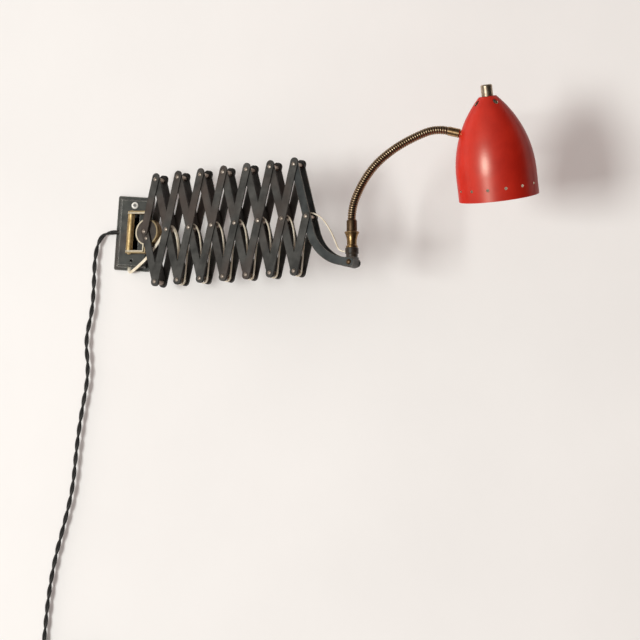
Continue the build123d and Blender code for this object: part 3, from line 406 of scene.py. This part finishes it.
# The dark brown edge tone is painted shade along every bar's edges, where shade falls between the bars
bar_paint = worn_paint("charcoal_bar_paint", "#282724", "#444340", "#221A15",
                       edge_mm=0.8, patch_mm=26.0, roughness=0.58, gloss=0.35)
dress(bar_paint, "upper_half_bars", "lower_half_bars", "end_half_bars",
      *(f"rising_bars_{i}" for i in cells), *(f"falling_bars_{i}" for i in cells))
drum_black = worn_paint("blackened_steel", "#3A3531", "#524B46", "#7C7062",
                        edge_mm=0.8, patch_mm=12.0, roughness=0.50, gloss=0.3)
dress(drum_black, "drum")

# Curved end arms, knuckle and collar: a pair of bent and painted steel bars, with a turned knuckle
# bolted between them, oiled and brown. They are handled more than the lattice, so smoother and darker.
arm_paint = worn_paint("rubbed_arm_paint", "#1E2122", "#363A39", "#8A7A66",
                       edge_mm=0.7, patch_mm=22.0, roughness=0.40, gloss=0.5)
dress(arm_paint, "curved_arms")
knuckle_brown = worn_paint("oiled_steel", "#1E1610", "#35291F", "#7A6650",
                           edge_mm=0.5, patch_mm=7.0, roughness=0.40, gloss=0.5)
dress(knuckle_brown, "knuckle", "collar")

# Rivets and spacing sleeves: turned copper alloy, browned with age and rubbed a little on the domes.
# Each rivet is peened over the bars, with a sleeve between the front and the back lattice.
rivet_copper = worn_brass("browned_copper", "#8A7A6E", "#BEB0A4", "#DACDC2", grain=260.0, edge_mm=0.7,
                          roughness=0.45)
dress(rivet_copper, "pivot_pin", "lower_pins", "arm_pins", *(f"pivot_pins_{i}" for i in cells))

# Neck's foot and head: a turned brass spool and two ferrules, screwed together and brighter where
# they are rubbed. The knuckle's bolt and the plug's pins are of the same brasses.
spool_brass = worn_brass("turned_brass", "#6E5438", "#A08056", "#F2DEBE", grain=240.0, edge_mm=0.5,
                         roughness=0.30, streak=(1.0, 1.0, 3.0))
dress(spool_brass, "neck_spool", "plug_pins")
low_brass = worn_brass("browned_ferrule_brass", "#54412F", "#6E5843", "#B09068", grain=240.0, edge_mm=0.5,
                       roughness=0.44)
dress(low_brass, "lower_ferrule", "knuckle_bolt")
high_brass = worn_brass("polished_ferrule_brass", "#8A6C4C", "#BC9A72", "#E8D2B2", grain=240.0, edge_mm=0.6,
                        roughness=0.22)
dress(high_brass, "upper_ferrule")

# Shade: spun steel, sprayed and stoved in red, cream inside, held on the ferrule by a nut. Dulled
# gloss, faintly clouded, with paint lost along the rim and round the holes.
shade_top, shade_up = pivot["switch_turn"], axis["switch_turn"]
enamel, tree, out = finish_of("stoved_red_enamel")
coords = node(tree, "TexCoord")
place = coords.outputs["Object"]
# Inside: the normal points towards the shade's own line
from_top = node(tree, "VectorMath", {0: place, 1: tuple(shade_top)}, operation="SUBTRACT")
drop = node(tree, "VectorMath", {0: from_top.outputs[0], 1: tuple(shade_up)}, operation="DOT_PRODUCT")
along = node(tree, "VectorMath", {0: tuple(shade_up), "Scale": drop.outputs["Value"]}, operation="SCALE")
radial = node(tree, "VectorMath", {0: from_top.outputs[0], 1: along.outputs[0]}, operation="SUBTRACT")
facing = node(tree, "VectorMath", {0: radial.outputs[0], 1: coords.outputs["Normal"]},
              operation="DOT_PRODUCT")
inside = node(tree, "Math", {0: facing.outputs["Value"], 1: -0.002}, operation="LESS_THAN")
# Clouds of about 29 mm in the coat and specks of about 1.1 mm in its wear
cloud = node(tree, "TexNoise", {"Vector": place, "Scale": 35.0, "Detail": 4.0, "Roughness": 0.55})
speck = node(tree, "TexNoise", {"Vector": place, "Scale": 900.0, "Detail": 3.0})
red = node(tree, "ValToRGB", {"Fac": cloud.outputs["Fac"]}, ((0.35, "#B01D0F"), (0.65, "#BE2211")))
cream = node(tree, "ValToRGB", {"Fac": cloud.outputs["Fac"]}, ((0.35, "#D8CDB8"), (0.65, "#E6DDCB")))
coat = node(tree, "Mix", {"Factor": inside.outputs[0], 6: red.outputs["Color"], 7: cream.outputs["Color"]},
            data_type="RGBA")
edge, _, _ = near_edge(tree, 0.7, 0.97, 0.75)
speckled = node(tree, "MapRange", {"Value": speck.outputs["Fac"], "From Min": 0.48, "From Max": 0.62})
edge_mask = node(tree, "Math", {0: edge, 1: speckled.outputs[0]}, operation="MULTIPLY")
colour = node(tree, "Mix", {"Factor": edge_mask.outputs[0], 6: coat.outputs[2], 7: linear("#5A3B30")},
              data_type="RGBA")
sheen = node(tree, "MapRange", {"Value": cloud.outputs["Fac"], "To Min": 0.30, "To Max": 0.38})
relief = node(tree, "Bump", {"Height": speck.outputs["Fac"], "Strength": 0.03, "Distance": 0.0003})
# Dulled paint loses its gloss towards the sides, where a new coat would mirror the wall
slant = node(tree, "LayerWeight", {"Blend": 0.5})
shine = node(tree, "MapRange", {"Value": slant.outputs["Facing"], "From Min": 0.12, "From Max": 0.55,
                                "To Min": 0.90, "To Max": 0.10})
face = node(tree, "BsdfPrincipled", {"Base Color": colour.outputs[2], "Roughness": sheen.outputs[0],
                                     "Specular IOR Level": shine.outputs[0],
                                     "Specular Tint": linear("#FFECDC"), "Normal": relief.outputs["Normal"]})
tree.links.new(face.outputs[0], out.inputs[0])
dress(enamel, "shade")

# Lampholder, cord bush and plug: phenolic resin pressed in a mould, dark brown to black. Deep and
# glossy, with a fine mottle of 6 mm. The holder hangs in the shade and the bush sits in the cover.
phenolic, tree, out = finish_of("pressed_phenolic")
place = node(tree, "TexCoord").outputs["Object"]
mottle = node(tree, "TexNoise", {"Vector": place, "Scale": 160.0, "Detail": 5.0, "Roughness": 0.65})
tint = node(tree, "ValToRGB", {"Fac": mottle.outputs["Fac"]}, ((0.35, "#17130F"), (0.65, "#2A221B")))
sheen = node(tree, "MapRange", {"Value": mottle.outputs["Fac"], "To Min": 0.22, "To Max": 0.38})
face = node(tree, "BsdfPrincipled", {"Base Color": tint.outputs["Color"], "Roughness": sheen.outputs[0],
                                     "IOR": 1.58})
tree.links.new(face.outputs[0], out.inputs[0])
dress(phenolic, "lampholder", "cord_bush", "plug_body")

# Bulb: blown glass, frosted inside so that it is milky, with faint clouds of 17 mm. Its cap is
# screwed into the lampholder, out of sight, and takes the same finish.
frosted, tree, out = finish_of("frosted_bulb_glass")
place = node(tree, "TexCoord").outputs["Object"]
cloud = node(tree, "TexNoise", {"Vector": place, "Scale": 60.0, "Detail": 2.0})
tint = node(tree, "ValToRGB", {"Fac": cloud.outputs["Fac"]}, ((0.3, "#E9E6DE"), (0.7, "#F3F1EB")))
face = node(tree, "BsdfPrincipled", {"Base Color": tint.outputs["Color"], "Roughness": 0.22, "IOR": 1.5,
                                     "Subsurface Weight": 0.3, "Subsurface Radius": (0.01, 0.01, 0.01)})
tree.links.new(face.outputs[0], out.inputs[0])
dress(frosted, "bulb")

# Switch knob: turned brass, nickel-plated and warm with age, on the switch's spindle at the shade's
# top. Soft grey shine in patches of 4.5 mm, with turning lines coarser than the real ones to show.
line_gap = 0.0005
nickel, tree, out = finish_of("aged_nickel_plate")
place = node(tree, "TexCoord").outputs["Object"]
from_top = node(tree, "VectorMath", {0: place, 1: tuple(shade_top)}, operation="SUBTRACT")
high = node(tree, "VectorMath", {0: from_top.outputs[0], 1: tuple(shade_up)}, operation="DOT_PRODUCT")
lines = node(tree, "Math", {0: high.outputs["Value"], 1: 2 * np.pi / line_gap}, operation="MULTIPLY")
lines = node(tree, "Math", {0: lines.outputs[0]}, operation="SINE")
patch = node(tree, "TexNoise", {"Vector": place, "Scale": 220.0, "Detail": 4.0})
tint = node(tree, "ValToRGB", {"Fac": patch.outputs["Fac"]}, ((0.35, "#9A8975"), (0.65, "#C6B29C")))
relief = node(tree, "Bump", {"Height": lines.outputs[0], "Strength": 0.06, "Distance": 0.0002})
face = node(tree, "BsdfPrincipled", {"Base Color": tint.outputs["Color"], "Metallic": 1.0, "Roughness": 0.42,
                                     "Normal": relief.outputs["Normal"]})
tree.links.new(face.outputs[0], out.inputs[0])
dress(nickel, "switch_knob")


# Gooseneck: a close-wound spiral of half-round brass wire over a steel spiral, dark between the turns and
# rubbed bright on them, from the lower ferrule to the upper.
def square_to(line, side):
    """Two directions across a line at each of its points: side, squared to the tangent, and the third."""
    ahead = np.gradient(line, axis=0)
    ahead /= np.linalg.norm(ahead, axis=1)[:, None]
    square = side - (ahead @ side)[:, None] * ahead
    square /= np.linalg.norm(square, axis=1)[:, None]
    return square, np.cross(ahead, square)


reach_dir = pivot["curved_arm_turn"] - pivot["scissor_extend"]
reach_dir /= np.linalg.norm(reach_dir)
rise_dir = np.cross(reach_dir, rest_dir)
neck_side = -axis["neck_bend"]
lean_dir = np.cross(rise_dir, neck_side)
foot_up = 0.0645
neck_foot = pivot["knuckle_tilt"] + foot_up * rise_dir
lengths, per_length, segment = 6, 144, 0.036
wire_pitch, wire_r, core_r, wire_round = 0.0036, 0.00640, 0.00570, 0.6
turns = np.radians((22.3, 12.2, 15.6, 11.3, 8.1, 35.0))
bends = np.concatenate(([0.0], np.cumsum(turns)))
count = lengths * per_length
s = np.linspace(0, lengths * segment, count + 1)
# Line: the heading grows evenly along each length, and its direction is summed midpoint by midpoint
heading = np.interp((s[1:] + s[:-1]) / 2, np.arange(lengths + 1) * segment, bends)
moves = np.sin(heading)[:, None] * lean_dir + np.cos(heading)[:, None] * rise_dir
neck_line = neck_foot + np.vstack((np.zeros(3), np.cumsum(moves, axis=0) * (s[1] - s[0])))
across, third = square_to(neck_line, neck_side)
round_ = np.linspace(0, 2 * np.pi, 28, endpoint=False)
# Radius: core plus a half-round wire whose phase moves one pitch in each turn round
wave = 0.5 + 0.5 * np.cos(2 * np.pi * s[:, None] / wire_pitch - round_)
crest = wave ** wire_round
radius = core_r + (wire_r - core_r) * crest
neck_rings = (neck_line[:, None] + (radius * np.cos(round_))[..., None] * across[:, None]
              + (radius * np.sin(round_))[..., None] * third[:, None])

# Wound brass: glints along the crests, dark oil between them, in patches of 11 mm
neck_brass, tree, out = finish_of("aged_wound_brass")
place = node(tree, "TexCoord").outputs["Object"]
height = node(tree, "Attribute", attribute_name="crest")
patch = node(tree, "TexNoise", {"Vector": place, "Scale": 90.0, "Detail": 4.0, "Roughness": 0.6})
crown = node(tree, "ValToRGB", {"Fac": patch.outputs["Fac"]}, ((0.35, "#967C60"), (0.62, "#B89E80")))
colour = node(tree, "Mix", {"Factor": height.outputs["Fac"], 6: linear("#3A2A1C"),
                            7: crown.outputs["Color"]}, data_type="RGBA")
sheen = node(tree, "MapRange", {"Value": patch.outputs["Fac"], "From Min": 0.3, "From Max": 0.7,
                                "To Min": 0.38, "To Max": 0.30})
face = node(tree, "BsdfPrincipled", {"Base Color": colour.outputs[2], "Metallic": 1.0,
                                     "Roughness": sheen.outputs[0]})
tree.links.new(face.outputs[0], out.inputs[0])

# Cut halfway along each length, so that each piece but the first and the last spans one joint. The first rides
# with the knuckle's stem, the last with the top length, and the others stay where they are drawn.
neck_bodies = ["knuckle_stem", "neck_2", "neck_3", "neck_4", "neck_5", "neck_6"]
neck_cuts = [0, *(per_length // 2 + per_length * k for k in range(lengths)), count]
for k, (first, last) in enumerate(zip(neck_cuts, neck_cuts[1:])):
    piece = skin(f"wound_neck_{k + 1}", neck_rings[first:last + 1], neck_brass)
    heights = np.concatenate((crest[first:last + 1].ravel(), (0.0, 0.0)))
    piece.data.attributes.new("crest", "FLOAT", "POINT").data.foreach_set("value", heights.astype(np.float32))
    if k in (0, 6):
        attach(piece, neck_bodies[0 if k == 0 else 5])
    else:
        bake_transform(piece)
    if k < 6:
        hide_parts(f"gooseneck_{k + 1}")


# Lamp flex: flat twin lead in ivory plastic, laced over each middle sleeve and under each low one, from the
# notch under the plate to the collar.
def route(name, points):
    """Line of a quadratic NURBS spline with these control points, starting and ending on the ends."""
    curve = bpy.data.curves.new(name, "CURVE")
    curve.dimensions = "3D"
    curve.resolution_u = 12
    spline = curve.splines.new("NURBS")
    spline.points.add(len(points) - 1)
    spline.points.foreach_set("co", np.column_stack((points, np.ones(len(points)))).ravel())
    spline.order_u = 3
    spline.use_endpoint_u = True
    carrier = bpy.data.objects.new(name, curve)
    bpy.context.scene.collection.objects.link(carrier)
    bpy.context.view_layer.update()
    drawn = bpy.data.meshes.new_from_object(carrier)
    line = np.empty(len(drawn.vertices) * 3)
    drawn.vertices.foreach_get("co", line)
    bpy.data.objects.remove(carrier)
    bpy.data.curves.remove(curve)
    bpy.data.meshes.remove(drawn)
    return line.reshape(-1, 3)


def evenly(line, step):
    """The same line at equal steps of its length."""
    far = np.concatenate(([0.0], np.cumsum(np.linalg.norm(np.diff(line, axis=0), axis=1))))
    at = np.linspace(0, far[-1], int(round(far[-1] / step)) + 1)
    return np.column_stack([np.interp(at, far, line[:, k]) for k in range(3)])


def on_arm(base, x, y):
    """Point x mm along the arm and y mm up it from a base."""
    return np.asarray(base) + (x * reach_dir + y * rise_dir) / 1000


# A sleeve is passed by two points, beside_mm to each side of it and clear_mm over or under it
beside_mm, clear_mm, flex_step = 5.6, 6.3, 0.0012
low = [pivot[f"rising_{i}_turn"] for i in cells] + [pivot["end_half_turn"]]
middle = [pivot[f"falling_{i}_turn"] for i in cells] + [pivot["curved_arm_turn"]]
lead = np.array(((-3.5, -3.0, -55.5), (-3.5, -5.5, -64.0), (4.5, -14.0, -61.5))) / 1000
rise = on_arm(pivot["scissor_extend"], 4.0, -36.5)
controls = [*lead, rise]
# Cuts: where one length of the lead ends and the next begins, halfway between two sleeves
cuts = [lead[2] + share * (rise - lead[2]) for share in (0.12, 0.42, 0.72)]
cuts.append(rise + 0.72 * (on_arm(middle[0], -beside_mm, clear_mm) - rise))
for i in range(7):
    over_in, over_out = (on_arm(middle[i], x, clear_mm) for x in (-beside_mm, beside_mm))
    if i:
        under_out = on_arm(low[i], beside_mm, -clear_mm)
        controls += [under_out, *(under_out + share * (over_in - under_out) for share in (0.15, 0.85))]
        cuts.append((under_out + over_in) / 2)
    controls += [over_in, over_out]
    if i < 6:
        bow, under_in = on_arm(middle[i], 15.5, -18.0), on_arm(low[i + 1], -beside_mm, -clear_mm)
        controls += [bow, bow + 0.8 * (under_in - bow), under_in]
        cuts.append((bow + under_in) / 2)
tail = [on_arm(pivot["knuckle_tilt"], x, y)
        for x, y in ((-50.5, 71.5), (-36.5, 51.5), (-27.5, 32.5), (-21.0, 17.35), (-10.0, 17.35))]
controls += tail
cuts.append((over_out + tail[0]) / 2)
flex_line = evenly(route("lamp_flex_route", np.array(controls)), flex_step)
across, third = square_to(flex_line, rest_dir - 0.36 * reach_dir)
round_ = np.linspace(0, 2 * np.pi, 16, endpoint=False)
# Section: an ellipse 5.4 by 2.6 mm, pinched to a waist between its two cores. It turns along the
# lead, so that its flat side faces out at the plate and lies on the sleeves further on.
half_wide, half_thick, pinch = 0.0027, 0.0013, 0.28
wide = half_wide * np.cos(round_)
thick = half_thick * np.sin(round_) * (1 - pinch * np.exp(-(np.cos(round_) * 3.6) ** 2))
turned_by = np.interp(np.arange(len(flex_line)) * flex_step, (0.0, 0.10, 0.24), (75.0, 60.0, 0.0))
turned_by = np.radians(turned_by)[:, None]
flat_way = np.cos(turned_by) * across + np.sin(turned_by) * third
edge_way = np.cos(turned_by) * third - np.sin(turned_by) * across
flex_rings = flex_line[:, None] + wide[:, None] * flat_way[:, None] + thick[:, None] * edge_way[:, None]

# Extruded plastic: smooth and a little waxy, yellowed and grubby in patches of 8 mm
ivory, tree, out = finish_of("ivory_flex_plastic")
place = node(tree, "TexCoord").outputs["Object"]
grub = node(tree, "TexNoise", {"Vector": place, "Scale": 120.0, "Detail": 4.0, "Roughness": 0.6})
tint = node(tree, "ValToRGB", {"Fac": grub.outputs["Fac"]}, ((0.32, "#CFC1A6"), (0.62, "#EBE1CF")))
face = node(tree, "BsdfPrincipled", {"Base Color": tint.outputs["Color"], "Roughness": 0.45, "IOR": 1.53})
tree.links.new(face.outputs[0], out.inputs[0])

# Each length runs from one cut to the next, and spans gives for each the body before its sleeve, the one after
# it, and two points on its way. The nearest point to a cut is looked for within the next 160 steps.
at = [0]
for cut in cuts:
    ahead_of = flex_line[at[-1]:at[-1] + 160] - cut
    at.append(at[-1] + int(np.argmin(np.linalg.norm(ahead_of, axis=1))))
at.append(len(flex_line) - 1)
rising = [f"rising_{i}" for i in cells] + ["end_half"]
falling = [f"falling_{i}" for i in cells] + ["curved_arm"]
spans = [("wall_unit", "swivel_fork", lead[1], cuts[0]), ("swivel_fork", "arm_pivot", cuts[0], cuts[1]),
         ("arm_pivot", "lower_half", cuts[1], cuts[2]), ("lower_half", "rising_1", cuts[2], cuts[3])]
for i in range(7):
    spans.append((rising[i], falling[i], *(on_arm(middle[i], x, 0) for x in (-beside_mm, beside_mm))))
    if i < 6:
        spans.append((falling[i], rising[i + 1], *(on_arm(low[i + 1], x, 0) for x in (-beside_mm, beside_mm))))
spans.append(("curved_arm", "knuckle_stem", tail[1], tail[3]))
for k, (before, after, start, end) in enumerate(spans):
    piece = skin(f"flex_{k + 1}", flex_rings[at[k]:at[k + 1] + 1], ivory)
    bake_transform(piece)
    if k == 0:
        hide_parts("lamp_flex")

# Mains cord: two cotton-braided cores twisted together, black and matt, hanging from the bush in
# the cover's side. What the lamp doesn't need is coiled and tied, and ends in the plug.
fall = np.array((
    (-21.2, -8.3, 0.5), (-40.0, -8.3, 0.5), (-55.0, -9.0, -11.5), (-60.0, -10.0, -45.0), (-58.0, -11.0, -85.0),
    (-57.5, -11.0, -130.0), (-65.5, -11.0, -178.0), (-55.5, -11.0, -230.0), (-63.5, -11.0, -298.0),
    (-67.0, -11.0, -355.0), (-68.0, -11.0, -418.0), (-78.5, -10.0, -478.0), (-89.5, -9.5, -535.0),
    (-95.0, -9.0, -592.0), (-96.5, -9.0, -645.0), (-97.0, -7.8, -696.0))) / 1000
# Coil: four loops of 42 mm radius, 8.2 mm apart, sixteen points in each, a little outside the line
# because the spline cuts inside them
loops, loop_r, loop_pitch, per_loop = 4, 0.042, 0.0082, 16
coil_x, coil_y, coil_z, entry_x = -0.055, -0.0092, -0.742, -0.097
angle = np.arange(0, loops * per_loop + 1) * 2 * np.pi / per_loop
swell = loop_r * 2 / (1 + np.cos(np.pi / per_loop))
coil = np.column_stack((coil_x - swell * np.cos(angle), coil_y - loop_pitch * angle / (2 * np.pi),
                        coil_z - swell * np.sin(angle)))
coil[0, 0] = coil[-1, 0] = entry_x
# Tail: straight on from the last loop, down to the plug
tail_long, tail_last = 0.062, 0.03
down = np.array((0.0, -loop_pitch, -2 * np.pi * loop_r))
down /= np.linalg.norm(down)
tail_end = np.array((entry_x, coil_y - loops * loop_pitch, coil_z)) + tail_long * down
cord_step, lay = 0.0024, 0.048
cord_route = np.vstack((fall, coil, tail_end - tail_last * down, tail_end))
cord_line = evenly(route("mains_route", cord_route), cord_step)
cord_side = np.array((0.0, 1.0, 0.03))
across, third = square_to(cord_line, cord_side)
strand_r, strand_off = 0.0018, 0.00178
twist = 2 * np.pi * np.arange(len(cord_line)) * cord_step / lay
round_ = np.linspace(0, 2 * np.pi, 12, endpoint=False)
strands = []
for phase in (0.0, np.pi):
    # Core: the cord's line, carried round it strand_off away, one turn in each lay
    core = cord_line + strand_off * (np.cos(twist + phase)[:, None] * across
                                     + np.sin(twist + phase)[:, None] * third)
    one, two = square_to(core, cord_side)
    strands.append(core[:, None] + strand_r * (np.cos(round_)[:, None] * one[:, None]
                                               + np.sin(round_)[:, None] * two[:, None]))

# Braided cotton: matt and a little fuzzy. Two sets of threads cross round the core, 8 each way and
# 1.3 mm apart along it: coarser than the real 0.5 mm so that they show
threads, thread_gap = 8, 0.0013
braid, tree, out = finish_of("black_cotton_braid")
place = node(tree, "TexCoord")
parts = node(tree, "SeparateXYZ", {0: place.outputs["UV"]})
turn = node(tree, "Math", {0: parts.outputs[0], 1: threads * 2 * np.pi}, operation="MULTIPLY")
run = node(tree, "Math", {0: parts.outputs[1], 1: np.pi / thread_gap}, operation="MULTIPLY")
left = node(tree, "Math", {0: turn.outputs[0], 1: run.outputs[0]}, operation="ADD")
right = node(tree, "Math", {0: turn.outputs[0], 1: run.outputs[0]}, operation="SUBTRACT")
left = node(tree, "Math", {0: left.outputs[0]}, operation="SINE")
right = node(tree, "Math", {0: right.outputs[0]}, operation="SINE")
weave = node(tree, "Math", {0: left.outputs[0], 1: right.outputs[0]}, operation="MULTIPLY")
fuzz = node(tree, "TexNoise", {"Vector": place.outputs["Object"], "Scale": 60.0, "Detail": 4.0})
mixed = node(tree, "MapRange", {"Value": weave.outputs[0], "From Min": -1.0, "From Max": 1.0})
lift = node(tree, "Math", {0: mixed.outputs[0], 1: fuzz.outputs["Fac"]}, operation="MULTIPLY")
tint = node(tree, "ValToRGB", {"Fac": lift.outputs[0]}, ((0.05, "#161514"), (0.55, "#3B3937")))
relief = node(tree, "Bump", {"Height": mixed.outputs[0], "Strength": 0.5, "Distance": 0.0003})
face = node(tree, "BsdfPrincipled", {"Base Color": tint.outputs["Color"], "Roughness": 0.85,
                                     "Sheen Weight": 0.15, "Sheen Roughness": 0.5,
                                     "Normal": relief.outputs["Normal"]})
tree.links.new(face.outputs[0], out.inputs[0])
mains = skin("mains_cord_core", strands[0], braid)
second = skin("mains_cord_core_b", strands[1], braid)
with bpy.context.temp_override(active_object=mains, selected_editable_objects=[mains, second]):
    bpy.ops.object.join()
mains.name = "twisted_mains_cord"
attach(mains, "wall_unit")
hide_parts("mains_cord", "cord_coil")

# Coil tie: a tape woven from the cord's black cotton, passed once round the loops at the top of the
# coil. Its loop is a superellipse, |y / w| ** 5 + |z / h| ** 5 = 1, and its section is flat with
# rounded edges.
tie_y, tie_z, half_w, half_h = -0.02765, -0.700, 0.0168, 0.0045
tape_half, tape_thin = 0.0045, 0.0005
t = np.linspace(0, 2 * np.pi, 96, endpoint=False)
loop = np.column_stack((np.full(len(t), coil_x), tie_y + half_w * np.sign(np.cos(t)) * abs(np.cos(t)) ** 0.4,
                        tie_z + half_h * np.sign(np.sin(t)) * abs(np.sin(t)) ** 0.4))
ahead_dir = np.roll(loop, -1, axis=0) - np.roll(loop, 1, axis=0)
ahead_dir /= np.linalg.norm(ahead_dir, axis=1)[:, None]
tape_wide = np.array((1.0, 0.0, 0.0))
outward = np.cross(ahead_dir, tape_wide)
round_ = np.linspace(0, 2 * np.pi, 16, endpoint=False)
tape = (loop[:, None] + (tape_half * np.sign(np.cos(round_)) * abs(np.cos(round_)) ** 0.3)[:, None] * tape_wide
        + (tape_thin * np.sin(round_))[:, None] * outward[:, None])
tie = skin("coil_tape", tape, braid, "wall_unit", closed=True)
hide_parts("coil_tie")
